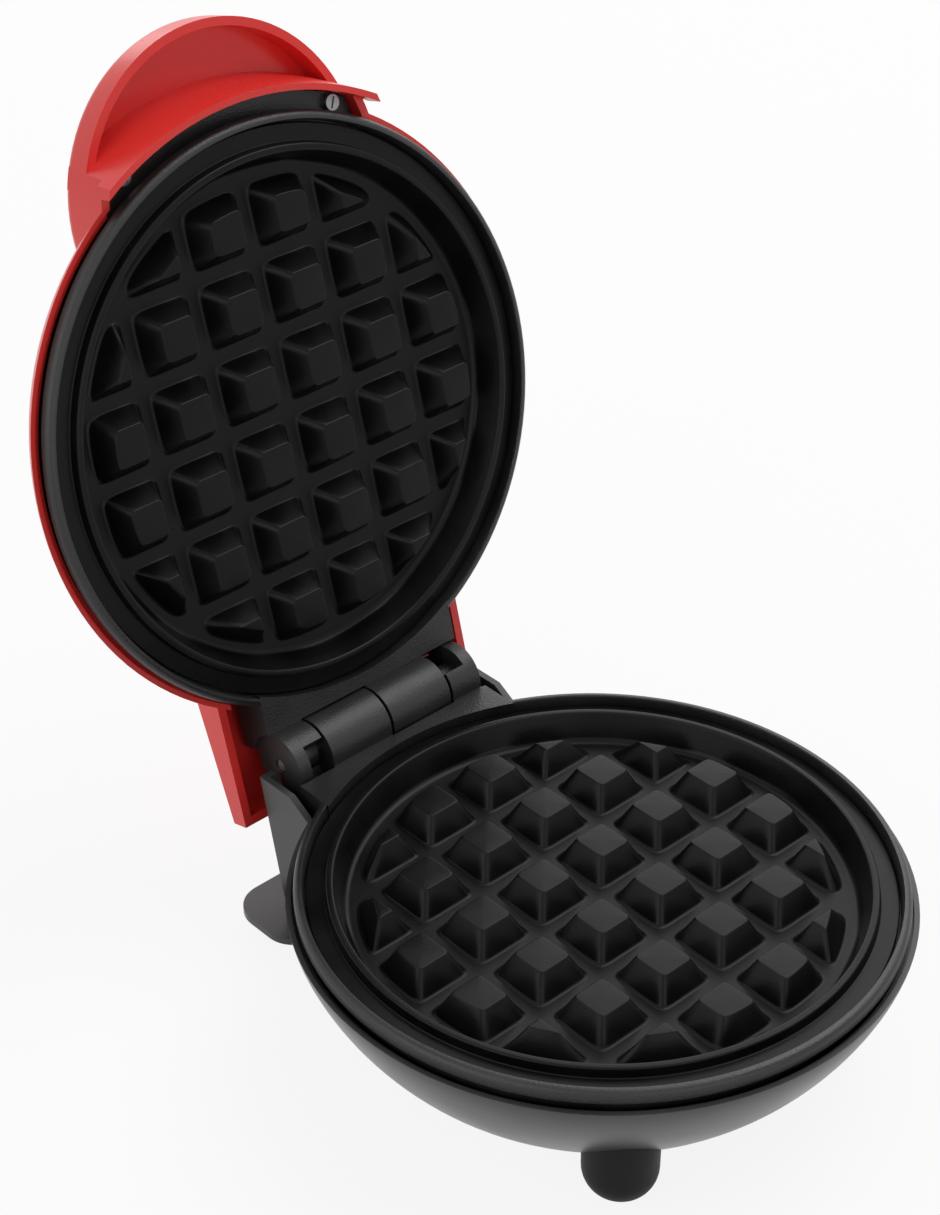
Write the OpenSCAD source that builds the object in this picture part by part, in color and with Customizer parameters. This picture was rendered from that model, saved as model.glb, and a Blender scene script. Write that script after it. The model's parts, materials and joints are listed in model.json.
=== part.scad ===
// Small round waffle maker, 4 inch cooking plates, shown with its lid open.
// +X is the user's right, +Y points to the hinge at the back, +Z is up, and z = 0 is the table.
// Each half is drawn about the plate axis with z = 0 on the parting plane between the plates.

/* [Overall] */
// Height of the parting plane and the hinge axis above the table
part_z = 38; // [36:0.5:44]
// Angle between the closed lid and the photographed open lid
open_angle = 105; // [60:1:106]
// Distance of the plate axis in front of the middle of the open object's length
plate_back = 33.58; // [0:0.01:60]

/* [Cooking plates] */
// Pitch of the waffle grid
pitch = 16.25; // [15.5:0.05:16.6]
// Number of studs along the longest rows of the grid
stud_count = 6; // [4:1:6]
// Height of a stud above the floor of the well
stud_h = 5.2; // [3:0.1:6]
// Width of a stud at its flat top
stud_top_w = 7.7; // [6:0.1:9]
// Width of a stud at its foot
stud_foot_w = 13; // [11:0.1:14]
// Radius of the well at its floor
well_r = 50.7; // [49.5:0.1:51.5]
// Inner radius of the raised rim at its top
rim_in_r = 52.8; // [52.5:0.1:53]
// Outer radius of the raised rim
rim_out_r = 54.2; // [54:0.1:54.4]
// Thickness of the casting under the well
plate_t = 2.6; // [2:0.1:3]

/* [Bezels] */
// Gap between the two closed bezels
bezel_gap = 0.8; // [0.6:0.1:1.2]
// Outer radius of the bezel ring
bezel_r = 60.6; // [60.4:0.1:61]
// Half width of the flat web that carries the hinge knuckles
web_hw = 25.9; // [25.4:0.1:26]

/* [Hinge] */
// Distance of the hinge axis behind the plate axis
hinge_y = 68.7; // [68.5:0.1:70]
// Outer radius of the hinge knuckles
knuckle_r = 7; // [6.5:0.1:7.2]
// Radius of the steel hinge pin
pin_r = 1.5; // [1.2:0.1:2]
// Outer end of the wide knuckles, from the middle
wide_end = 16.4; // [14:0.1:17]
// Outer end of the narrow knuckles, from the middle
narrow_end = 25; // [23:0.1:25.4]

/* [Shells] */
// Outer radius of both shells at their lips
lip_r = 62.2; // [62:0.1:62.4]
// Thickness of the shells' walls
wall = 1.9; // [1.6:0.1:2]
// Distance from the parting plane to each shell's lip
lip_gap = 4.2; // [4.1:0.1:4.4]
// Depth of the base bowl below its lip
bowl_h = 28.4; // [28:0.1:28.8]
// Height of the lid dome above its lip
dome_h = 30; // [29.5:0.1:34]
// Half width of the neck under the hinge
neck_hw = 29.5; // [28.5:0.1:29.8]
// Half width of the lid's tail behind the hinge
tail_hw = 32.7; // [32.5:0.1:34]
// Rear end of the lid's tail, from the plate axis
tail_y = 81.3; // [81:0.1:84]
// Lower edge of the tail's walls above the parting plane
tail_low = 6.3; // [5.5:0.1:7]

/* [Handle] */
// Radius of the half-moon handle in plan
handle_r = 33.9; // [33.6:0.1:34.6]
// Distance of the handle's centre in front of the plate axis
handle_y = 46; // [45.5:0.1:47]
// Lower edge of the handle's rim above the parting plane
handle_low = 9.8; // [8:0.1:10.5]
// Ceiling of the finger pocket above the parting plane
pocket_top = 16; // [15:0.1:16.4]

/* [Feet] */
// Radius of the front feet
foot_r = 7.5; // [6:0.1:8]
// Front feet from the middle
foot_x = 30; // [27:0.5:31]
// Front feet in front of the plate axis
foot_y = 36; // [33:0.5:37]
// Half width of the flat rear foot
flange_hw = 36.2; // [34:0.1:38]

/* [Hidden] */
$fn = 96;
eps = 0.01;
// Levels below the parting plane, shared by both halves
bezel_top = -bezel_gap / 2;
rim_top = bezel_top - 0.05;
stud_top = bezel_top - 1.1;
ledge_z = bezel_top - 2.3;
floor_z = stud_top - stud_h;
under_z = floor_z - plate_t;
plate_out_r = 58.2;
recess_r = plate_out_r + 0.35;
overhang_low = bezel_top - 2.6;
shelf_z = ledge_z - 2;
shelf_low = shelf_z - 2;
// Studs at the edge of the grid are cut back to this cone
clip_top_r = 2.77 * pitch;
clip_foot_r = 2.95 * pitch;
// Hinge
knuckle_gap = 0.35;
swing_r = knuckle_r + 0.4;
pin_clear = 0.05;
notch_r = 3.1;
notch_w = 5.4;
notch_from = -1;
notch_to = 130;
lug_from = 233;
lug_to = 253;
deck_top = -8.2;
deck_low = -10.2;
deck_back = 66;
// Heater and what holds it
heater_r = 34;
tube_r = 3.2;
tube_z = under_z - tube_r;
clamp_z = under_z - 2 * tube_r;
clamp_t = 1.2;
boss_at = 20;
boss_angles = [90, 210, 330];
shield_z = clamp_z - clamp_t - 3;
shield_t = 0.6;
// Base
bowl_low_r = 42;
bowl_power = 1.35;
neck_top = -1;
neck_back = 70;
neck_lean = 12.4;
neck_low = -33;
flange_top = -33.6;
flange_low = -35.2;
flange_back = 74.2;
flange_front = 54;
flange_root = 66;
flange_round = 7;
pad_r = 4.5;
pad_x = 26;
pad_sunk = 0.6;
pad_h = part_z + flange_low + pad_sunk;
screw_at = 46.5;
screw_angles = [48, 132, 240, 300];
arm_top = under_z - 0.7;
arm_low = arm_top - 2.4;
tower_z = -17;
seat_z = -20.8;
gland_z = -23;
gland_y = neck_back + (gland_z - neck_top) * tan(neck_lean);
cord_r = 3.3;
terminal_top = -20;
// Lid
lip_t = 1.1;
dome_top_r = 38;
dome_power = 1.15;
handle_wall = 1.8;
strip_end = 0.9;
slot_top = 13.3;
slot_r = 64.5;
strip_low_r = 65.8;
strip_high_r = 67.4;
front_screw_a = 24.5;
front_screw_at = 62.5;
crescent_z = 6.9;
crescent_in = 57.75;
crescent_out = slot_r - 0.3;
lens_y = -22;
lens_r = 3;
lens_z = lip_gap + dome_h - wall - 1.22;
lamp_board = 27.6;

// Radius of a shell wall at angle t of a quarter superellipse from its lip to its crown
function shell_pt(r0, r1, h, n, t) =
    [r1 + (r0 - r1) * pow(cos(t), 2 / n), h * pow(sin(t), 2 / n)];
function shell_curve(r0, r1, h, n, steps = 20) =
    [for (i = [0:steps]) shell_pt(r0, r1, h, n, 90 * i / steps)];

module at_base() {
    translate([0, -plate_back, part_z]) children();
}
module swing_open() {
    translate([0, hinge_y, 0]) rotate([-open_angle, 0, 0]) translate([0, -hinge_y, 0]) children();
}
// The lid drawn as it lies when closed
module at_lid() {
    at_base() swing_open() children();
}
// The upper half of a mirror pair, turned over about the front-to-back axis
module at_upper() {
    at_lid() rotate([0, 180, 0]) children();
}
// Turns a shape drawn in Y and Z so that its height runs along X
module along_x() {
    rotate([90, 0, 90]) children();
}
module hinge_rod(r, x0, x1) {
    along_x() translate([hinge_y, 0, x0]) cylinder(r = r, h = x1 - x0);
}
module hinge_sector(r0, r1, a0, a1, x0, x1) {
    along_x() translate([hinge_y, 0, x0]) rotate([0, 0, a0])
        rotate_extrude(angle = a1 - a0) translate([r0, 0]) square([r1 - r0, x1 - x0]);
}
module box(x0, x1, y0, y1, z0, z1) {
    translate([x0, y0, z0]) cube([x1 - x0, y1 - y0, z1 - z0]);
}
module around(angles, r) {
    for (a = angles) rotate([0, 0, a]) translate([r, 0, 0]) children();
}

// One comb of tapered ridges, extruded along the other axis
module stud_comb() {
    half = stud_count * pitch / 2;
    foot = floor_z - 0.5;
    rotate([90, 0, 0]) linear_extrude(height = 4 * half, center = true) polygon(concat(
        [[-half, foot - 0.5], [-half, foot]],
        [for (i = [0:stud_count - 1]) let (c = (i - (stud_count - 1) / 2) * pitch)
            each [[c - stud_foot_w / 2, foot], [c - stud_foot_w / 2, floor_z],
                [c - stud_top_w / 2, stud_top], [c + stud_top_w / 2, stud_top],
                [c + stud_foot_w / 2, floor_z], [c + stud_foot_w / 2, foot]]],
        [[half, foot], [half, foot - 0.5]]));
}
module studs() {
    intersection() {
        stud_comb();
        rotate([0, 0, 90]) stud_comb();
        rotate_extrude() polygon([[0, floor_z - 0.3], [clip_foot_r, floor_z - 0.3], [clip_foot_r, floor_z],
            [clip_top_r, stud_top], [0, stud_top]]);
    }
}
module plate_body() {
    rotate_extrude() polygon([[0, under_z], [well_r + 1.9, under_z], [rim_out_r - 0.6, shelf_z],
        [plate_out_r, shelf_z], [plate_out_r, ledge_z], [rim_out_r + 0.2, ledge_z],
        [rim_out_r, rim_top - 0.3], [rim_out_r - 0.3, rim_top], [rim_in_r + 0.2, rim_top],
        [rim_in_r, rim_top - 0.2], [well_r, floor_z], [0, floor_z]]);
}
module cooking_plate() {
    difference() {
        union() {
            plate_body();
            studs();
            around(boss_angles, boss_at) translate([0, 0, clamp_z])
                cylinder(r = 4, h = under_z - clamp_z + eps);
        }
        around(boss_angles, boss_at) translate([0, 0, clamp_z - 1]) cylinder(r = 1.95, h = 6.5);
    }
}
module heater() {
    translate([0, 0, tube_z]) {
        rotate([0, 0, 110]) rotate_extrude(angle = 320) translate([heater_r, 0]) circle(r = tube_r);
        for (a = [110, 70]) rotate([0, 0, a]) translate([heater_r, 0, -6.6]) {
            cylinder(r = 1.2, h = 6.6);
            translate([0, 0, 3]) cylinder(r = tube_r, h = 3.6);
        }
        for (a = [110, 70]) rotate([0, 0, a]) translate([heater_r, 0, 0]) sphere(r = tube_r);
    }
}
module heater_clamp() {
    difference() {
        translate([0, 0, clamp_z - clamp_t]) cylinder(r = 40, h = clamp_t);
        translate([0, 0, clamp_z - 5]) cylinder(r = 11, h = 10);
        around(boss_angles, boss_at) translate([0, 0, clamp_z - 5]) cylinder(r = 2.1, h = 10);
        box(-15, 15, 26, 45, clamp_z - 5, clamp_z + 5);
    }
}
module plate_screws() {
    around(boss_angles, boss_at) translate([0, 0, clamp_z - clamp_t]) {
        cylinder(r = 1.9, h = 6.2);
        difference() {
            translate([0, 0, -2]) cylinder(r = 3.3, h = 2);
            translate([0, 0, -3]) box(-3, 3, -0.4, 0.4, 0, 1.8);
        }
    }
}
module heat_shield() {
    difference() {
        rotate_extrude() polygon([[0, shield_z - shield_t], [48.4, shield_z - shield_t],
            [54.9, shelf_low - shield_t], [57.6, shelf_low - shield_t], [57.6, shelf_low], [54.5, shelf_low],
            [48, shield_z], [0, shield_z]]);
        around(screw_angles, screw_at) box(-5.8, 15, -5.8, 5.8, shield_z - 5, 0);
        box(-15, 15, 28, 60, shield_z - 5, 0);
    }
}

// Bezel ring with its hinge web; the same moulding serves both halves, turned over for the lid
module bezel_ring() {
    edge = 1.4;
    rotate_extrude() polygon(concat([[rim_out_r - 0.2, shelf_z], [recess_r, shelf_z], [recess_r, ledge_z],
        [58.75, bezel_top - 0.4], [59, bezel_top]],
        [for (t = [90:-15:0]) [bezel_r - edge + edge * cos(t), bezel_top - edge + edge * sin(t)]],
        [[bezel_r, overhang_low], [59.6, overhang_low], [59.6, shelf_z - 0.1], [recess_r, shelf_low],
        [rim_out_r - 0.2, shelf_low]]));
}
module bezel_web() {
    difference() {
        union() {
            box(-web_hw, web_hw, 50, hinge_y - 3, bezel_top - 4, bezel_top);
            box(-web_hw, web_hw, 56, deck_back, deck_low, deck_top);
            box(-web_hw, -web_hw + 2, 50, deck_back, deck_low, bezel_top - 3);
            box(web_hw - 2, web_hw, 50, deck_back, deck_low, bezel_top - 3);
        }
        translate([0, 0, -30]) cylinder(r = 58.4, h = 60);
        hinge_rod(swing_r, -30, 30);
    }
}
module knuckle(x0, x1) {
    hinge_rod(knuckle_r, x0, x1);
    box(x0, x1, 58.6, hinge_y, -knuckle_r, bezel_top);
    box(x0, x1, 60, deck_back, deck_low + 0.5, -knuckle_r + 1.2);
}
module bezel() {
    difference() {
        union() {
            bezel_ring();
            bezel_web();
            knuckle(-wide_end, -knuckle_gap);
            knuckle(wide_end + 2 * knuckle_gap, narrow_end);
            hinge_sector(notch_r + 0.3, knuckle_r - 0.3, lug_from, lug_to,
                -wide_end - notch_w + knuckle_gap, -wide_end + 1);
        }
        hinge_rod(pin_r + pin_clear, -30, 30);
        hinge_sector(notch_r, knuckle_r + 6, notch_from, notch_to,
            wide_end - 1, wide_end + notch_w + knuckle_gap);
        intersection() {
            hinge_rod(swing_r, -narrow_end - knuckle_gap, -wide_end - notch_w);
            box(-40, 40, 40, 90, -20, 20);
        }
    }
}
module lower_bezel() {
    color([0.11, 0.11, 0.115]) at_base() difference() {
        union() {
            bezel();
            around(screw_angles, screw_at) screw_arm();
        }
        around(screw_angles, screw_at) translate([0, 0, tower_z - 1]) cylinder(r = 1.5, h = 6.5);
    }
}
// Arm that reaches in under the plate to meet a screw tower of the base
module screw_arm() {
    translate([0, 0, tower_z + 0.1]) cylinder(r = 3.2, h = arm_top - tower_z - 0.1);
    box(0, 57 - screw_at, -3.2, 3.2, arm_low, arm_top);
    box(54 - screw_at, 57 - screw_at, -3.2, 3.2, arm_low, shelf_low + eps);
}
module upper_bezel() {
    color([0.1, 0.1, 0.105]) at_upper() difference() {
        union() {
            bezel();
            bezel_crescent();
        }
        front_screw_places() translate([0, 0, -20]) cylinder(r = 1.6, h = 40);
    }
}
// The two screws in front that hold the upper bezel to the lid
module front_screw_places() {
    for (s = [-1, 1]) rotate([0, 0, -90 + s * front_screw_a]) translate([front_screw_at, 0, 0]) children();
}
// Crescent of the upper bezel behind the handle's strip, which its two screws go through
module bezel_crescent() {
    intersection() {
        rotate_extrude() polygon([[crescent_in, -crescent_z - 2], [crescent_out, -crescent_z - 2],
            [crescent_out, -crescent_z], [crescent_in + 0.85, -crescent_z],
            [crescent_in + 0.85, shelf_z - 1], [crescent_in, shelf_z - 1]]);
        translate([0, -handle_y, -20]) cylinder(r = handle_r - handle_wall - 0.4, h = 20);
    }
}
module lower_bezel_screws() {
    color([0.62, 0.62, 0.64]) at_base() around(screw_angles, screw_at) {
        translate([0, 0, seat_z]) cylinder(r = 1.5, h = 8.5);
        difference() {
            translate([0, 0, seat_z - 1.9]) cylinder(r = 2.9, h = 1.9);
            translate([0, 0, seat_z - 3]) box(-2.2, 2.2, -0.4, 0.4, 0, 2);
        }
    }
}
module upper_bezel_screws() {
    color([0.62, 0.6, 0.6]) at_lid() front_screw_places() translate([0, 0, crescent_z]) {
        cylinder(r = 1.2, h = 6);
        difference() {
            translate([0, 0, -1.3]) cylinder(r = 1.65, h = 1.3);
            translate([0, 0, -1.8]) box(-1.2, 1.2, -0.25, 0.25, 0, 1);
        }
    }
}

module bowl_solid(r0, r1, h, n) {
    mirror([0, 0, 1]) rotate_extrude() polygon(concat([[0, 0]], shell_curve(r0, r1, h, n), [[0, h]]));
}
module bowl_outer() {
    translate([0, 0, -lip_gap]) bowl_solid(lip_r, bowl_low_r, bowl_h, bowl_power);
}
module bowl_inner() {
    translate([0, 0, -lip_gap + eps])
        bowl_solid(lip_r - wall, bowl_low_r, bowl_h - wall, bowl_power);
}
// Side outline of the neck, pushed in by d on every side and open at the top when d is set
module neck_outline(d) {
    lean = tan(neck_lean);
    lift = d > 0 ? 1 : 0;
    along_x() linear_extrude(height = 2 * (neck_hw - d), center = true)
        polygon([[38, lift - lip_gap], [55, lift - lip_gap], [60.5, neck_top + lift],
            [neck_back - d + lift * lean, neck_top + lift],
            [neck_back - d + (neck_low - neck_top + d) * lean, neck_low + d], [38, neck_low + d]]);
}
module flange_plan() {
    inner = flange_hw - flange_round;
    for (x = [-inner, inner]) for (y = [flange_front + flange_round, flange_back - flange_round])
        translate([x, y]) circle(r = flange_round);
    translate([-inner, flange_front]) square([2 * inner, flange_back - flange_front]);
    translate([-flange_hw, flange_front + flange_round])
        square([2 * flange_hw, flange_back - flange_front - 2 * flange_round]);
}
module screw_tower() {
    translate([0, 0, seat_z - 12]) cylinder(r = 5, h = tower_z - seat_z + 12);
}
module foot_places() {
    for (s = [-1, 1]) translate([s * foot_x, -foot_y, 0]) children();
}
module base_shell() {
    color([0.36, 0.36, 0.37]) at_base() difference() {
        union() {
            difference() {
                union() {
                    bowl_outer();
                    neck_outline(0);
                }
                bowl_inner();
                translate([0, 0, -lip_gap - 1.2]) cylinder(r = lip_r - lip_t, h = 6);
                neck_outline(1.5);
                box(-neck_hw + 1.5, neck_hw - 1.5, 38, 68, -lip_gap - 1, 1);
            }
            intersection() {
                bowl_outer();
                around(screw_angles, screw_at) screw_tower();
            }
            difference() {
                translate([0, 0, flange_low]) linear_extrude(height = flange_top - flange_low) flange_plan();
                translate([0, 0, -60]) cylinder(r = bowl_low_r, h = 40);
            }
            along_x() linear_extrude(height = 2 * (neck_hw - 2), center = true)
                polygon([[flange_front + 1, neck_low + 1], [flange_root, neck_low + 1],
                    [flange_root, flange_low + 1], [flange_front + 1, flange_low + 1]]);
        }
        around(screw_angles, screw_at) translate([0, 0, seat_z - 40]) cylinder(r = 3.4, h = 40);
        around(screw_angles, screw_at) translate([0, 0, seat_z - 1]) cylinder(r = 1.7, h = 8);
        foot_places() translate([0, 0, -40]) cylinder(r = 2.5, h = 36);
        hinge_rod(swing_r, -web_hw - 0.4, web_hw + 0.4);
        gland_frame() translate([0, 0, -8]) cylinder(r = 5.2, h = 16);
        pad_places() translate([0, 0, flange_low - 1]) cylinder(r = pad_r + 0.05, h = 1 + pad_sunk);
    }
}
// Rubber peg whose top follows the bowl and whose stem plugs through it
module front_feet() {
    color([0.1, 0.1, 0.1]) at_base() {
        difference() {
            foot_places() translate([0, 0, -part_z]) rotate_extrude() polygon(concat([[0, 0]],
                [for (a = [0:9:90]) [2.4 + (foot_r - 2.4) * sin(a), 6 - 6 * cos(a)]],
                [[foot_r + 0.2, 34], [0, 34]]));
            bowl_outer();
            translate([0, 0, -lip_gap - 8]) cylinder(r = 70, h = 20);
        }
        foot_places() translate([0, 0, -part_z + 6]) cylinder(r = 2.4, h = 10.3);
    }
}
module pad_places() {
    for (s = [-1, 1]) translate([s * pad_x, (flange_front + flange_back) / 2, 0]) children();
}
module rear_pads() {
    color([0.1, 0.1, 0.1]) at_base() pad_places() translate([0, 0, -part_z])
        rotate_extrude() polygon([[0, 0], [pad_r - 0.4, 0], [pad_r, 0.4], [pad_r, pad_h], [0, pad_h]]);
}
// Frame on the neck's leaning rear face, +Z straight out of it
module gland_frame() {
    translate([0, gland_y, gland_z]) rotate([-90 - neck_lean, 0, 0]) children();
}
module cord_gland() {
    color([0.12, 0.12, 0.12]) at_base() gland_frame() difference() {
        union() {
            translate([0, 0, -4]) cylinder(r = 5.1, h = 6);
            cylinder(r = 6.6, h = 2);
            translate([0, 0, -4]) cylinder(r = 6.4, h = 2);
        }
        translate([0, 0, -10]) cylinder(r = cord_r, h = 20);
    }
}
module hinge_pin() {
    color([0.7, 0.7, 0.72]) at_base() hinge_rod(pin_r, -narrow_end + 0.4, narrow_end - 0.4);
}

module handle_rod(r, z0, z1) {
    translate([0, -handle_y, z0]) cylinder(r = r, h = z1 - z0);
}
// Half-moon handle with a soft upper edge; inside the strip it reaches down to the lid's lip
module handle_block() {
    translate([0, -handle_y, 0]) rotate_extrude() polygon(concat([[0, handle_low], [handle_r, handle_low]],
        [for (a = [0:15:90]) [handle_r - 3 + 3 * cos(a), pocket_top - 1 + 3 * sin(a)]],
        [[0, pocket_top + 2]]));
    intersection() {
        handle_rod(handle_r, lip_gap, handle_low + eps);
        cylinder(r = strip_low_r, h = 20);
    }
}
// Thin curved strip in front of the bezel; its lower part reaches a little past the handle's sides
module handle_strip() {
    intersection() {
        rotate_extrude() polygon([[slot_r, 0], [strip_low_r, 0], [strip_high_r, pocket_top + eps],
            [slot_r, pocket_top + eps]]);
        union() {
            handle_rod(handle_r, 0, 20);
            handle_rod(handle_r + strip_end, 0, lip_gap);
        }
    }
}
module finger_pocket() {
    difference() {
        handle_rod(handle_r - handle_wall, 0, pocket_top);
        cylinder(r = strip_low_r, h = 40);
    }
}
// Gap behind the strip that the bezel's crescent stands in
module handle_slot() {
    intersection() {
        rotate_extrude() translate([57, -1]) square([slot_r - 57, slot_top + 1]);
        handle_rod(handle_r - handle_wall, -1, slot_top);
    }
}
module dome(r0, r1, h, n) {
    rotate_extrude() polygon(concat([[0, 0]], shell_curve(r0, r1, h, n), [[0, h]]));
}
// Tail behind the hinge, chamfered along its upper side edges and pushed in by d on all sides
module tail_block(d, low) {
    hull() for (s = [[0, 2.2], [2.2, 0]]) along_x()
        linear_extrude(height = 2 * (tail_hw - d - s[0]), center = true)
        polygon([[44, low], [tail_y - d, low], [tail_y - d, 10.4 - d], [tail_y - 1.8 - d, 12.8 - d - s[1]],
            [44, 16.8 - d - s[1]]]);
}
module lid_shell() {
    color([0.72, 0.06, 0.05]) at_lid() difference() {
        union() {
            difference() {
                union() {
                    translate([0, 0, lip_gap]) dome(lip_r, dome_top_r, dome_h, dome_power);
                    handle_block();
                    tail_block(0, tail_low);
                }
                translate([0, 0, lip_gap - eps]) dome(lip_r - wall, dome_top_r, dome_h - wall, dome_power);
                translate([0, 0, lip_gap - 5]) cylinder(r = lip_r - lip_t, h = 6.2);
                tail_block(wall, -10);
                finger_pocket();
                handle_slot();
            }
            handle_strip();
            front_screw_places() translate([0, 0, crescent_z + 2.02])
                cylinder(r = 2.4, h = slot_top - crescent_z - 1);
            for (s = [-1, 1]) translate([s * 6.5, lens_y, lamp_board])
                cylinder(r = 1.6, h = lens_z - lamp_board + 2);
        }
        front_screw_places() translate([0, 0, crescent_z]) cylinder(r = 1.2, h = 6.5);
        translate([0, lens_y, 0]) cylinder(r = lens_r + 0.1, h = 60);
    }
}
module indicator_lens() {
    color([0.85, 0.9, 0.95]) at_lid() translate([0, lens_y, lens_z])
        rotate_extrude() polygon(concat([[0, 0], [4.2, 0], [4.2, 1.2], [lens_r, 1.2]],
            [for (a = [0:15:75]) [lens_r * cos(a), 3.1 + 0.9 * sin(a)]], [[0, 4]]));
}
module indicator_lamp() {
    color([0.25, 0.5, 0.3]) at_lid() translate([0, lens_y, 0]) {
        box(-9, 9, -6, 6, lamp_board - 1.6, lamp_board);
        translate([0, 0, lamp_board]) cylinder(r = 1.5, h = 2.9);
    }
}
module thermostat() {
    color([0.75, 0.72, 0.62]) at_base() translate([0, 0, under_z - 5.6]) {
        cylinder(r = 8, h = 5.58);
        for (s = [-1, 1]) box(s * 4.5 - 1, s * 4.5 + 1, -0.4, 0.4, -3.4, 0);
    }
}
module thermal_fuse() {
    color([0.8, 0.78, 0.7]) at_base() translate([-6, -13.5, under_z - 2.4]) along_x() {
        cylinder(r = 1.8, h = 12);
        translate([0, 0, -3]) cylinder(r = 0.5, h = 18);
    }
}
module terminal_block() {
    color([0.85, 0.84, 0.8]) at_base() difference() {
        box(-9, 9, 52, 60, terminal_top - 8, terminal_top);
        for (x = [-4.5, 4.5]) translate([x, 50, terminal_top - 4]) rotate([-90, 0, 0])
            cylinder(r = 1.3, h = 12);
    }
}
// A wire on a smooth curve from a to d, which leaves towards b and arrives from c
function curve_pt(a, b, c, d, t) = pow(1 - t, 3) * a + 3 * t * pow(1 - t, 2) * b
    + 3 * t * t * (1 - t) * c + pow(t, 3) * d;
function unit(v) = v / norm(v);
module wire(a, b, c, d, rings = 14, sides = 8, r = 0.9) {
    pts = [for (i = [0:rings]) curve_pt(a, b, c, d, i / rings)];
    ends = concat([a], pts, [d]);
    skin = [for (i = [0:rings]) let (
            along = unit(i == 0 ? b - a : i == rings ? d - c : ends[i + 2] - ends[i]),
            u = unit(cross(along, [1, 0, 0])), v = cross(along, u))
        each [for (k = [0:sides - 1]) pts[i] + r * (cos(360 * k / sides) * u + sin(360 * k / sides) * v)]];
    polyhedron(points = skin, faces = concat(
        [[for (k = [0:sides - 1]) k]], [[for (k = [sides - 1:-1:0]) rings * sides + k]],
        [for (i = [0:rings - 1], k = [0:sides - 1]) let (n = (k + 1) % sides)
            [i * sides + k, (i + 1) * sides + k, (i + 1) * sides + n, i * sides + n]]));
}
module base_wiring() {
    pin = [heater_r * sin(20), heater_r * cos(20), tube_z - 6.6];
    hole = [4.5, 56, terminal_top];
    color([0.8, 0.75, 0.65]) at_base() for (s = [0, 1]) mirror([s, 0, 0])
        wire(pin, pin - [0, 0, 9], hole + [0, 0, 8], hole);
}
module lid_wiring() {
    pin = [heater_r * sin(20), heater_r * cos(20), -tube_z + 6.6];
    pad = [6, lens_y + 4, lamp_board];
    color([0.8, 0.75, 0.65]) at_lid() for (s = [0, 1]) mirror([s, 0, 0])
        wire(pin, pin + [0, 0, 7], pad + [0, 0, 7], pad);
}
module lower_plate() { color([0.13, 0.13, 0.135]) at_base() cooking_plate(); }
module upper_plate() { color([0.13, 0.13, 0.135]) at_upper() cooking_plate(); }
module lower_heater() { color([0.45, 0.43, 0.42]) at_base() heater(); }
module upper_heater() { color([0.45, 0.43, 0.42]) at_upper() heater(); }
module lower_heater_clamp() { color([0.7, 0.7, 0.7]) at_base() heater_clamp(); }
module upper_heater_clamp() { color([0.7, 0.7, 0.7]) at_upper() heater_clamp(); }
module lower_plate_screws() { color([0.65, 0.65, 0.66]) at_base() plate_screws(); }
module upper_plate_screws() { color([0.65, 0.65, 0.66]) at_upper() plate_screws(); }
module lower_heat_shield() { color([0.75, 0.76, 0.77]) at_base() heat_shield(); }
module upper_heat_shield() { color([0.75, 0.76, 0.77]) at_upper() heat_shield(); }

base_shell();
front_feet();
rear_pads();
lower_bezel();
lower_bezel_screws();
lower_plate();
lower_heater();
lower_heater_clamp();
lower_plate_screws();
lower_heat_shield();
thermostat();
thermal_fuse();
terminal_block();
base_wiring();
cord_gland();
hinge_pin();
lid_shell();
upper_bezel();
upper_bezel_screws();
upper_plate();
upper_heater();
upper_heater_clamp();
upper_plate_screws();
upper_heat_shield();
indicator_lens();
indicator_lamp();
lid_wiring();
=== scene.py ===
"""Looks of a small round waffle maker with its lid open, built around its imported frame."""
import json
import math

import bpy
import bmesh
import numpy as np
from mathutils import Matrix, Vector


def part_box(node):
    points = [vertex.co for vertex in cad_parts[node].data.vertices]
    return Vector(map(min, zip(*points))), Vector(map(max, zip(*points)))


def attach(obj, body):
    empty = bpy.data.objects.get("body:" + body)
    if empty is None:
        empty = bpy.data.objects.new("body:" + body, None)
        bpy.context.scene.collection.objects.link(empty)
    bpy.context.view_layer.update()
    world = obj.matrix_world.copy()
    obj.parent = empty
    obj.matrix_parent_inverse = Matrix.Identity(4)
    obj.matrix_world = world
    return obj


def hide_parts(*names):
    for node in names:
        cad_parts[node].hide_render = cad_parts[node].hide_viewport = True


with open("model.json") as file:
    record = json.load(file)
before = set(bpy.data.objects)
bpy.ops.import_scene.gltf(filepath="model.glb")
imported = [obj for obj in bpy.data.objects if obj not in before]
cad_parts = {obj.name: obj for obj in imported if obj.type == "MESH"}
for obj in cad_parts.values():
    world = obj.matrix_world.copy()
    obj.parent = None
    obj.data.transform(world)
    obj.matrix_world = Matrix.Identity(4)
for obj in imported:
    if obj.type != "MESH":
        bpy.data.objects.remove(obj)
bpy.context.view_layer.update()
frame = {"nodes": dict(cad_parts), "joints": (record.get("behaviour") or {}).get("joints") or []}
MM = 0.001

# Places read from the frame
HINGE = Vector(frame["joints"][0]["pos_m"])
PART_Z = HINGE.z
plate_low, plate_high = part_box("lower_plate")
PLATE_Y = (plate_low.y + plate_high.y) / 2
OPEN_ANGLE = math.radians(frame["joints"][0]["range_deg"][1])

# Camera of the photograph, from the lower plate's axis at its stud tops
CAMERA_AT = Vector((-289.0, -274.0, 335.5)) * MM
CAMERA_AZIMUTH = math.radians(-42.8)
CAMERA_ELEVATION = math.radians(34.33)
CAMERA_LENS = 100.85
CAMERA_SENSOR = 36.0
CAMERA_NEAR = 0.01

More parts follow.
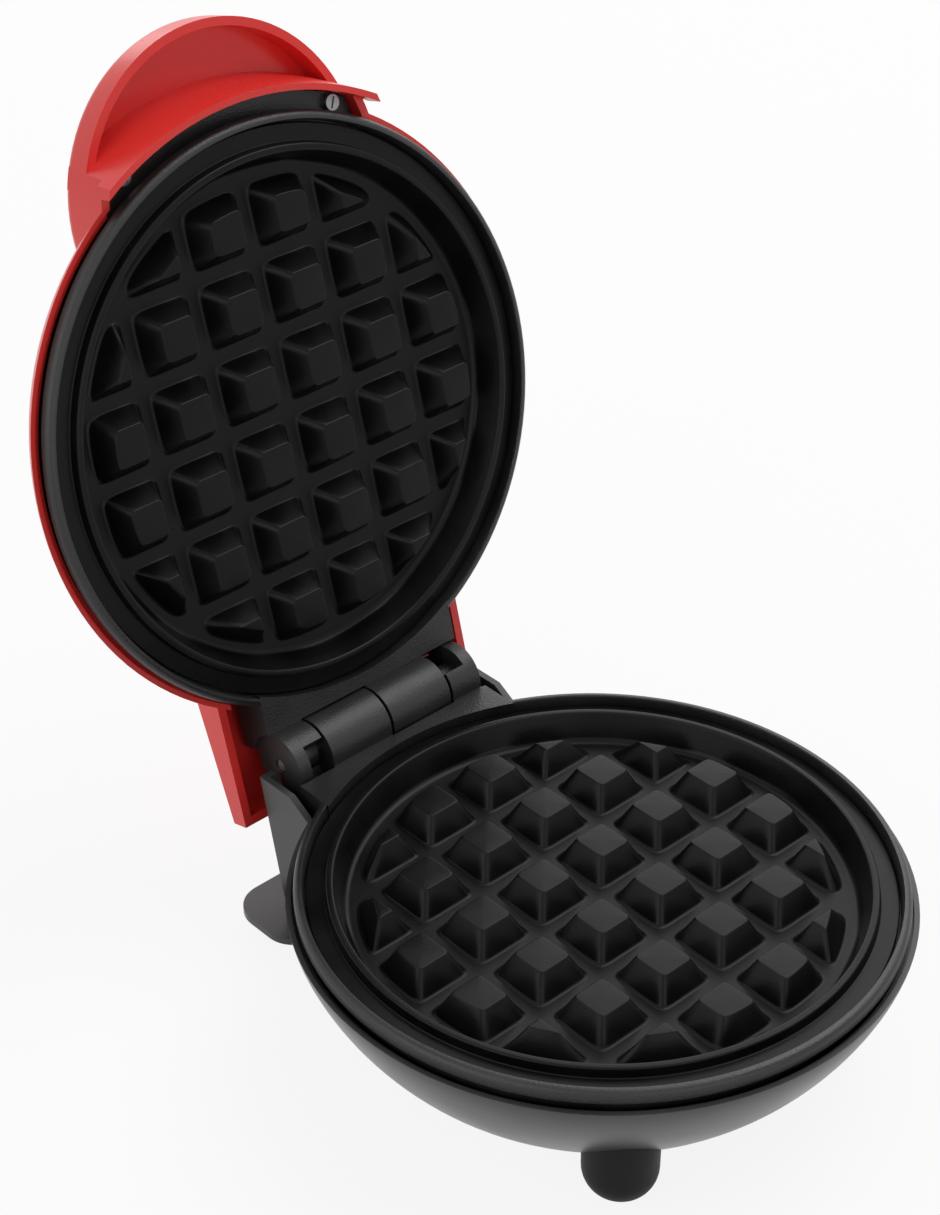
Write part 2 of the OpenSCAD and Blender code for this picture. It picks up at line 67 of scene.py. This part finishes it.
# Cooking plate, in millimetres, with z = 0 on the parting plane and up out of the well
PITCH = 16.25
STUDS = 6
STUDS_WITHIN = 3.2 * PITCH
STUD_TOP = -1.5
STUD_H = 5.2
STUD_FOOT = 6.5
STUD_HEAD = 3.85
STUD_RUN = STUD_FOOT - STUD_HEAD
STUD_FILLETS = (0.8, 0.4)
STUD_SUNK = 0.4
STUD_SOFTNESS = 9.0
CLIP_FOOT = 2.95 * PITCH
CLIP_HEAD = 2.77 * PITCH
FLOOR = STUD_TOP - STUD_H
WELL_R = 50.7
RIM_IN = 52.8
RIM_OUT = 54.25
RIM_FOOT = 54.45
RIM_TOP = -0.45
LEDGE = -2.7
SHELF = LEDGE - 2
FLANGE_R = 58.2
SKIRT_TOP_R = 53.7
SKIRT_LOW_R = 52.6
PLATE_UNDER = FLOOR - 2.6
PLATE_FILLETS = (1.6, 0.55, 0.5, 0.35, 0.3, 0.2, 0.3, 0.5)

# Fineness of the meshes: steps, distances in metres and angles in degrees
LATHE_STEPS = 192
STUD_STEPS = 64
FILLET_STEPS = 5
POLE_STEPS = 25
MERGE = 0.000002
FLAT_ANGLE = 0.4
PLATE_SMOOTH = 35.0
PIECE_SMOOTH = 32.0
ROUNDED_SMOOTH = 40.0

# Places of a material's two main stops on its noise
LOW_STOP = 0.3
HIGH_STOP = 0.7

# Stage, in metres; the white share is how much of the floor is plain white where the background is seen
GROUND_HALF = 6.0
GROUND_GREY = 0.86
GROUND_WHITE_SHARE = 0.88
WORLD_STRENGTH = 0.25
AIM_LOW = (0, 0, 0.05)
AIM_MIDDLE = (0, 0, 0.08)


# Meshes

def to_frame(lid):
    """Matrix from a plate's own millimetres to the shared frame, at rest."""
    place = Matrix.Translation((0, PLATE_Y, PART_Z)) @ Matrix.Scale(MM, 4)
    if not lid:
        return place
    swing = Matrix.Translation(HINGE) @ Matrix.Rotation(-OPEN_ANGLE, 4, "X") @ Matrix.Translation(-HINGE)
    return swing @ place


def flipped():
    """Turns a lower plate over about the front-to-back axis, for the lid."""
    return Matrix.Rotation(math.pi, 4, "Y")


def add_mesh(name, verts, faces, place):
    mesh = bpy.data.meshes.new(name)
    mesh.from_pydata([tuple(v) for v in verts], [], faces)
    mesh.transform(place)
    mesh.validate()
    obj = bpy.data.objects.new(name, mesh)
    bpy.context.scene.collection.objects.link(obj)
    tidy_mesh(obj)
    smooth(obj, PLATE_SMOOTH)
    return obj


def tidy_mesh(obj):
    """Merges doubled points and turns all faces outwards."""
    bm = bmesh.new()
    bm.from_mesh(obj.data)
    bmesh.ops.remove_doubles(bm, verts=bm.verts, dist=MERGE)
    bmesh.ops.recalc_face_normals(bm, faces=bm.faces)
    bm.to_mesh(obj.data)
    bm.free()


def join_flats(obj):
    """Joins neighbouring faces that lie in one plane."""
    bm = bmesh.new()
    bm.from_mesh(obj.data)
    bmesh.ops.dissolve_limit(bm, angle_limit=math.radians(FLAT_ANGLE), verts=bm.verts, edges=bm.edges)
    bm.to_mesh(obj.data)
    bm.free()


def smooth(obj, angle):
    obj.data.shade_smooth()
    obj.data.set_sharp_from_angle(angle=math.radians(angle))


def apply_modifiers(obj):
    graph = bpy.context.evaluated_depsgraph_get()
    mesh = bpy.data.meshes.new_from_object(obj.evaluated_get(graph))
    obj.modifiers.clear()
    obj.data = mesh


def finish_piece(obj, body, slot, material, *nodes):
    obj.data.materials.clear()
    obj.data.materials.append(material)
    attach(obj, body)
    if nodes:
        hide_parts(*nodes)


def dressed(node, body, slot, material, name, width=0.25, segments=2):
    """A copy of a CAD node with its flat faces joined up and its sharp edges rounded to a width in mm."""
    obj = bpy.data.objects.new(name, frame["nodes"][node].data.copy())
    bpy.context.scene.collection.objects.link(obj)
    if obj.data.has_custom_normals:
        bpy.context.view_layer.objects.active = obj
        with bpy.context.temp_override(object=obj, active_object=obj, selected_objects=[obj]):
            bpy.ops.mesh.customdata_custom_splitnormals_clear()
    tidy_mesh(obj)
    smooth(obj, PIECE_SMOOTH)
    join_flats(obj)
    bevel = obj.modifiers.new("edges", "BEVEL")
    bevel.width = width * MM
    bevel.segments = segments
    bevel.limit_method = "ANGLE"
    bevel.angle_limit = math.radians(PIECE_SMOOTH)
    bevel.use_clamp_overlap = True
    apply_modifiers(obj)
    smooth(obj, ROUNDED_SMOOTH)
    flats = obj.modifiers.new("flats", "WEIGHTED_NORMAL")
    flats.keep_sharp = True
    apply_modifiers(obj)
    finish_piece(obj, body, slot, material, node)


# Materials

def new_material(name):
    mat = bpy.data.materials.new(name)
    mat.use_nodes = True
    nodes, links = mat.node_tree.nodes, mat.node_tree.links
    return mat, nodes, links, nodes["Principled BSDF"]


def mapped(nodes, links, coords, setting, value):
    """Object coordinates turned or stretched by one setting of a mapping node."""
    node = nodes.new("ShaderNodeMapping")
    node.inputs[setting].default_value = value
    links.new(coords, node.inputs["Vector"])
    return node.outputs["Vector"]


def noise(nodes, links, vector, scale, detail):
    tex = nodes.new("ShaderNodeTexNoise")
    tex.inputs["Scale"].default_value = scale
    tex.inputs["Detail"].default_value = detail
    links.new(vector, tex.inputs["Vector"])
    return tex.outputs["Fac"]


def ramp(nodes, links, source, stops):
    """Colour ramp through (place, colour) stops; a colour is a grey level or an RGB triple."""
    node = nodes.new("ShaderNodeValToRGB")
    band = node.color_ramp
    while len(band.elements) < len(stops):
        band.elements.new(0.5)
    for element, (place, colour) in zip(band.elements, stops):
        rgb = (colour,) * 3 if isinstance(colour, (int, float)) else colour
        element.position = place
        element.color = (*rgb, 1.0)
    links.new(source, node.inputs["Fac"])
    return node.outputs["Color"]


def two_stops(pair):
    return [(LOW_STOP, pair[0]), (HIGH_STOP, pair[1])]


def add_bump(nodes, links, shader, source, depth):
    """Bump of full strength from a height socket, with its depth in metres."""
    bump = nodes.new("ShaderNodeBump")
    bump.inputs["Distance"].default_value = depth
    bump.inputs["Strength"].default_value = 1.0
    links.new(source, bump.inputs["Height"])
    links.new(bump.outputs["Normal"], shader.inputs["Normal"])


def larger(nodes, links, first, second):
    """The larger of two values."""
    node = nodes.new("ShaderNodeMath")
    node.operation = "MAXIMUM"
    links.new(first, node.inputs[0])
    links.new(second, node.inputs[1])
    return node.outputs["Value"]


def surface_material(name, colours, rough, grain, grain_depth, mottle=60.0, specular=0.5, coat=0.0):
    """Moulded or coated surface: a broad noise drifts colour and roughness, a fine grain is its bump."""
    mat, nodes, links, shader = new_material(name)
    coords = nodes.new("ShaderNodeTexCoord").outputs["Object"]
    broad = noise(nodes, links, coords, mottle, detail=4.0)
    fine = noise(nodes, links, coords, grain, detail=2.0)
    links.new(ramp(nodes, links, broad, two_stops(colours)), shader.inputs["Base Color"])
    links.new(ramp(nodes, links, broad, two_stops(rough)), shader.inputs["Roughness"])
    add_bump(nodes, links, shader, fine, grain_depth)
    shader.inputs["Specular IOR Level"].default_value = specular
    shader.inputs["Coat Weight"].default_value = coat
    return mat


def metal_material(name, colours, rough, stretch=(1.0, 1.0, 14.0), tarnish=None):
    """Metal with drawn streaks along one axis, and an optional heat tint that drifts over it."""
    mat, nodes, links, shader = new_material(name)
    coords = nodes.new("ShaderNodeTexCoord").outputs["Object"]
    along = mapped(nodes, links, coords, "Scale", stretch)
    streaks = noise(nodes, links, along, scale=260.0, detail=4.0)
    broad = noise(nodes, links, coords, scale=45.0, detail=3.0)
    bright_stop, tarnish_stop = 0.62, 0.8
    stops = [(LOW_STOP, colours[0]), (bright_stop, colours[1])]
    if tarnish:
        stops.append((tarnish_stop, tarnish))
    links.new(ramp(nodes, links, broad, stops), shader.inputs["Base Color"])
    links.new(ramp(nodes, links, streaks, two_stops(rough)), shader.inputs["Roughness"])
    add_bump(nodes, links, shader, streaks, depth=0.000008)
    shader.inputs["Metallic"].default_value = 1.0
    return mat


def sleeve_material(name):
    """Braided glass-fibre sleeve: two crossing sets of fine bands over a warm white."""
    mat, nodes, links, shader = new_material(name)
    coords = nodes.new("ShaderNodeTexCoord").outputs["Object"]
    bands = []
    for turn in (0.9, -0.9):
        wave = nodes.new("ShaderNodeTexWave")
        wave.inputs["Scale"].default_value = 620.0
        wave.inputs["Distortion"].default_value = 1.5
        links.new(mapped(nodes, links, coords, "Rotation", (0.0, turn, turn)), wave.inputs["Vector"])
        bands.append(wave.outputs["Fac"])
    weave = larger(nodes, links, *bands)
    gap_stop, thread_stop = 0.2, 0.8
    shades = [(gap_stop, (0.42, 0.37, 0.28)), (thread_stop, (0.74, 0.69, 0.58))]
    links.new(ramp(nodes, links, weave, shades), shader.inputs["Base Color"])
    add_bump(nodes, links, shader, weave, depth=0.00008)
    shader.inputs["Roughness"].default_value = 0.85
    return mat


def lens_material(name):
    """Clear moulded lens with faint flow ripples."""
    mat, nodes, links, shader = new_material(name)
    coords = nodes.new("ShaderNodeTexCoord").outputs["Object"]
    ripples = noise(nodes, links, coords, scale=320.0, detail=2.0)
    shades = two_stops(((0.84, 0.88, 0.9), (0.93, 0.95, 0.96)))
    links.new(ramp(nodes, links, ripples, shades), shader.inputs["Base Color"])
    add_bump(nodes, links, shader, ripples, depth=0.00001)
    shader.inputs["Transmission Weight"].default_value = 0.85
    shader.inputs["Roughness"].default_value = 0.08
    shader.inputs["IOR"].default_value = 1.49
    return mat


coating = surface_material("nonstick_coating", colours=(0.003, 0.006), rough=(0.27, 0.37),
                           grain=1500.0, grain_depth=0.00002, mottle=90.0, specular=0.14)
bezel_plastic = surface_material("black_textured_plastic", colours=(0.008, 0.016), rough=(0.34, 0.46),
                                 grain=2400.0, grain_depth=0.00009, specular=0.45)
grey_plastic = surface_material("grey_satin_plastic", colours=(0.036, 0.046), rough=(0.28, 0.36),
                                grain=900.0, grain_depth=0.000008, specular=0.38)
red_plastic = surface_material("red_gloss_plastic", colours=((0.73, 0.031, 0.026), (0.76, 0.035, 0.029)),
                               rough=(0.26, 0.32), grain=700.0, grain_depth=0.000006,
                               specular=0.4, coat=0.05)
rubber = surface_material("black_rubber", colours=(0.004, 0.007), rough=(0.5, 0.62),
                          grain=1800.0, grain_depth=0.00003, specular=0.16)
ceramic = surface_material("steatite", colours=((0.66, 0.62, 0.54), (0.76, 0.73, 0.66)), rough=(0.6, 0.75),
                           grain=2200.0, grain_depth=0.00003)
board = surface_material("green_board", colours=((0.03, 0.13, 0.06), (0.05, 0.18, 0.08)), rough=(0.3, 0.4),
                         grain=500.0, grain_depth=0.00001)
steel = metal_material("plated_steel", colours=((0.3, 0.3, 0.31), (0.44, 0.44, 0.45)), rough=(0.3, 0.46))
sheath = metal_material("heat_stained_sheath", colours=(0.28, 0.4), rough=(0.4, 0.55),
                        tarnish=(0.34, 0.24, 0.17))
sheet_metal = metal_material("rolled_aluminium", colours=(0.66, 0.76), rough=(0.3, 0.48),
                             stretch=(14.0, 1.0, 1.0))
sleeve = sleeve_material("glass_fibre_sleeve")
clear = lens_material("clear_lens")


# Cooking plates

def rounded_path(corners, radii):
    """Points along a polyline whose inner corners are rounded to the given radii."""
    pts = [corners[0]]
    for before, corner, after, r in zip(corners, corners[1:], corners[2:], radii):
        a = (before - corner).normalized()
        b = (after - corner).normalized()
        half = math.acos(max(-1, min(1, a.dot(b)))) / 2
        back = r / math.tan(half)
        centre = corner + (a + b).normalized() * (r / math.sin(half))
        start, end = corner + a * back - centre, corner + b * back - centre
        turn = math.atan2(start.x * end.y - start.y * end.x, start.dot(end))
        for i in range(FILLET_STEPS + 1):
            t = turn * i / FILLET_STEPS
            pts.append(centre + Vector((start.x * math.cos(t) - start.y * math.sin(t),
                                        start.x * math.sin(t) + start.y * math.cos(t))))
    pts.append(corners[-1])
    return pts


def lathe(profile):
    """Verts and faces of a turned solid, from an (r, z) profile that starts and ends on the axis."""
    verts, faces, rings = [], [], []
    for r, z in profile:
        around = LATHE_STEPS if r else 1
        rings.append(range(len(verts), len(verts) + around))
        turns = [2 * math.pi * k / LATHE_STEPS for k in range(around)]
        verts += [(r * math.cos(turn), r * math.sin(turn), z) for turn in turns]
    for low, high in zip(rings, rings[1:]):
        for k in range(LATHE_STEPS):
            n = (k + 1) % LATHE_STEPS
            corners = [low[k % len(low)], low[n % len(low)], high[n % len(high)], high[k % len(high)]]
            faces.append(list(dict.fromkeys(corners)))
    return verts, faces


def stud_side():
    """Rounded outline of a stud's side: how far in from its foot line, and how high above the floor."""
    lead_in, lead_out = 1.4, 1.2
    corners = [Vector((-lead_in, 0)), Vector((0, 0)),
               Vector((STUD_RUN, STUD_H)), Vector((STUD_RUN + lead_out, STUD_H))]
    return [(p.x, p.y) for p in rounded_path(corners, STUD_FILLETS)[1:-1]]


def stud_reach(pole, angle, centre, half, clip):
    """Distance from a pole to a stud's softly squared outline, cut by the clip circle."""
    nearly_zero, least = 1e-9, 0.05
    d = (math.cos(angle), math.sin(angle))
    dists = []
    for axis in (0, 1):
        if abs(d[axis]) > nearly_zero:
            side = half if d[axis] > 0 else -half
            dists.append((centre[axis] + side - pole[axis]) / d[axis])
    b = pole[0] * d[0] + pole[1] * d[1]
    dists.append(-b + math.sqrt(max(b * b - (pole[0] ** 2 + pole[1] ** 2 - clip ** 2), 0)))
    return sum(max(x, least) ** -STUD_SOFTNESS for x in dists) ** (-1 / STUD_SOFTNESS)


def stud_pole(centre):
    """Middle of what the clip circle leaves of a stud's head."""
    grid = np.linspace(-STUD_HEAD, STUD_HEAD, POLE_STEPS)
    x, y = np.meshgrid(centre[0] + grid, centre[1] + grid)
    kept = x ** 2 + y ** 2 < CLIP_HEAD ** 2
    return float(x[kept].mean()), float(y[kept].mean())


def stud_mesh(centre):
    """Verts and faces of one closed stud, sunk a little into the plate's floor."""
    pole = stud_pole(centre)
    side = stud_side()
    levels = [(side[0][0], -STUD_SUNK)] + side
    verts, faces = [], []
    for inset, height in levels:
        clip = CLIP_FOOT - inset * (CLIP_FOOT - CLIP_HEAD) / STUD_RUN
        for k in range(STUD_STEPS):
            angle = 2 * math.pi * k / STUD_STEPS
            r = stud_reach(pole, angle, centre, STUD_FOOT - inset, clip)
            verts.append((pole[0] + r * math.cos(angle), pole[1] + r * math.sin(angle), FLOOR + height))
    top = (len(levels) - 1) * STUD_STEPS
    low, high = len(verts), len(verts) + 1
    verts += [(*pole, FLOOR - STUD_SUNK), (*pole, FLOOR + STUD_H)]
    for ring in range(0, top, STUD_STEPS):
        for k in range(STUD_STEPS):
            n = (k + 1) % STUD_STEPS
            faces.append((ring + k, ring + n, ring + STUD_STEPS + n, ring + STUD_STEPS + k))
    for k in range(STUD_STEPS):
        n = (k + 1) % STUD_STEPS
        faces.append((low, n, k))
        faces.append((high, top + k, top + n))
    return verts, faces


def plate_mesh():
    corners = [Vector(p) for p in [
        (0, FLOOR), (WELL_R, FLOOR), (RIM_IN, RIM_TOP), (RIM_OUT, RIM_TOP), (RIM_FOOT, LEDGE),
        (FLANGE_R, LEDGE), (FLANGE_R, SHELF), (SKIRT_TOP_R, SHELF),
        (SKIRT_LOW_R, PLATE_UNDER), (0, PLATE_UNDER)]]
    verts, faces = lathe([(p.x, p.y) for p in rounded_path(corners, PLATE_FILLETS)])
    for i in range(STUDS):
        for j in range(STUDS):
            centre = [(k - (STUDS - 1) / 2) * PITCH for k in (i, j)]
            if math.hypot(*centre) > STUDS_WITHIN:
                continue
            more, sides = stud_mesh(centre)
            start = len(verts)
            verts += more
            faces += [tuple(v + start for v in f) for f in sides]
    return verts, faces


plate_verts, plate_faces = plate_mesh()
lower_plate = add_mesh("cooking_plate_lower", plate_verts, plate_faces, to_frame(False))
upper_plate = add_mesh("cooking_plate_upper", plate_verts, plate_faces, to_frame(True) @ flipped())
finish_piece(lower_plate, "base", "plate_coating", coating, "lower_plate")
finish_piece(upper_plate, "lid", "plate_coating", coating, "upper_plate")

# Bezels, shells and small parts
dressed("lower_bezel", "base", "bezel_black", bezel_plastic, "bezel_lower")
dressed("upper_bezel", "lid", "bezel_black", bezel_plastic, "bezel_upper")
dressed("base_shell", "base", "shell_grey", grey_plastic, "base_casing", width=0.3)
dressed("lid_shell", "lid", "lid_red", red_plastic, "lid_casing", width=0.4, segments=3)
dressed("front_feet", "base", "rubber_black", rubber, "peg_feet", width=0.3)
dressed("rear_pads", "base", "rubber_black", rubber, "foot_pads", width=0.2)
dressed("cord_gland", "base", "rubber_black", rubber, "gland", width=0.3)
dressed("hinge_pin", "base", "bright_steel", steel, "pin", width=0.3)
dressed("lower_bezel_screws", "base", "bright_steel", steel, "base_screws", width=0.12)
dressed("upper_bezel_screws", "lid", "bright_steel", steel, "front_screws", width=0.12)
dressed("lower_plate_screws", "base", "bright_steel", steel, "plate_screws_lower", width=0.12)
dressed("upper_plate_screws", "lid", "bright_steel", steel, "plate_screws_upper", width=0.12)
dressed("thermostat", "base", "ceramic", ceramic, "thermostat_disc")
dressed("terminal_block", "base", "ceramic", ceramic, "terminals")
dressed("indicator_lamp", "lid", "board", board, "lamp_and_board", width=0.15)

# Inner pieces and the lens keep their CAD shape, with a material of their own
KEPT = {
    "lower_heater": sheath, "upper_heater": sheath,
    "lower_heater_clamp": sheet_metal, "upper_heater_clamp": sheet_metal,
    "lower_heat_shield": sheet_metal, "upper_heat_shield": sheet_metal,
    "thermal_fuse": ceramic, "base_wiring": sleeve, "lid_wiring": sleeve, "indicator_lens": clear,
}
for name, material in KEPT.items():
    node = frame["nodes"][name]
    if not node.material_slots:
        node.data.materials.append(material)
    for holder in node.material_slots:
        holder.material = material


# Camera, floor and light

def make_camera():
    camera = bpy.data.objects.new("camera", bpy.data.cameras.new("camera"))
    bpy.context.scene.collection.objects.link(camera)
    camera.location = Vector((0, PLATE_Y, PART_Z + STUD_TOP * MM)) + CAMERA_AT
    camera.rotation_euler = (math.pi / 2 - CAMERA_ELEVATION, 0, CAMERA_AZIMUTH)
    camera.data.sensor_fit = "HORIZONTAL"
    camera.data.sensor_width = CAMERA_SENSOR
    camera.data.lens = CAMERA_LENS
    camera.data.clip_start = CAMERA_NEAR
    bpy.context.scene.camera = camera


def area_light(name, at, target, size, power):
    """Panel that faces its target and that the camera doesn't see."""
    light = bpy.data.lights.new(name, "AREA")
    light.shape = "RECTANGLE"
    light.size, light.size_y = size
    light.energy = power
    obj = bpy.data.objects.new(name, light)
    obj.location = Vector(at)
    obj.rotation_euler = (Vector(at) - Vector(target)).to_track_quat("Z", "Y").to_euler()
    obj.visible_camera = False
    bpy.context.scene.collection.objects.link(obj)


def sees_background(nodes, links):
    """1 for rays that the white background should meet: from the camera, a gloss or a clear piece."""
    path = nodes.new("ShaderNodeLightPath")
    seen = path.outputs["Is Camera Ray"]
    for kind in ("Is Glossy Ray", "Is Transmission Ray"):
        seen = larger(nodes, links, seen, path.outputs[kind])
    return seen


def make_floor():
    mesh = bpy.data.meshes.new("floor")
    half = GROUND_HALF
    corners = [(-half, -half, 0), (half, -half, 0), (half, half, 0), (-half, half, 0)]
    mesh.from_pydata(corners, [], [(0, 1, 2, 3)])
    floor = bpy.data.objects.new("floor", mesh)
    bpy.context.scene.collection.objects.link(floor)
    mat, nodes, links, shader = new_material("floor")
    shader.inputs["Base Color"].default_value = (GROUND_GREY, GROUND_GREY, GROUND_GREY, 1)
    shader.inputs["Roughness"].default_value = 0.9
    shader.inputs["Specular IOR Level"].default_value = 0.1
    glow = nodes.new("ShaderNodeEmission")
    glow.inputs["Strength"].default_value = 1.0
    share = nodes.new("ShaderNodeMath")
    share.operation = "MULTIPLY"
    share.inputs[1].default_value = GROUND_WHITE_SHARE
    links.new(sees_background(nodes, links), share.inputs[0])
    mix = nodes.new("ShaderNodeMixShader")
    links.new(share.outputs["Value"], mix.inputs["Fac"])
    links.new(shader.outputs["BSDF"], mix.inputs[1])
    links.new(glow.outputs["Emission"], mix.inputs[2])
    links.new(mix.outputs["Shader"], nodes["Material Output"].inputs["Surface"])
    floor.data.materials.append(mat)


def make_world():
    world = bpy.data.worlds.new("world")
    bpy.context.scene.world = world
    world.use_nodes = True
    nodes, links = world.node_tree.nodes, world.node_tree.links
    lit = nodes["Background"]
    seen = nodes.new("ShaderNodeBackground")
    for background, strength in ((lit, WORLD_STRENGTH), (seen, 1.0)):
        background.inputs["Color"].default_value = (1, 1, 1, 1)
        background.inputs["Strength"].default_value = strength
    mix = nodes.new("ShaderNodeMixShader")
    links.new(sees_background(nodes, links), mix.inputs["Fac"])
    links.new(lit.outputs["Background"], mix.inputs[1])
    links.new(seen.outputs["Background"], mix.inputs[2])
    links.new(mix.outputs["Shader"], nodes["World Output"].inputs["Surface"])


make_camera()
make_floor()
make_world()
area_light("overhead", at=(0.7, -0.15, 1.25), target=AIM_LOW, size=(1.0, 1.0), power=9.0)
area_light("behind", at=(0.95, 1.0, 0.95), target=AIM_LOW, size=(2.0, 1.4), power=12.0)
area_light("left", at=(-1.3, 0.1, 0.75), target=AIM_MIDDLE, size=(1.5, 1.3), power=7.0)
area_light("front", at=(-0.3, -1.5, 0.6), target=AIM_MIDDLE, size=(1.0, 0.7), power=2.5)

bpy.context.scene.view_settings.view_transform = "Standard"
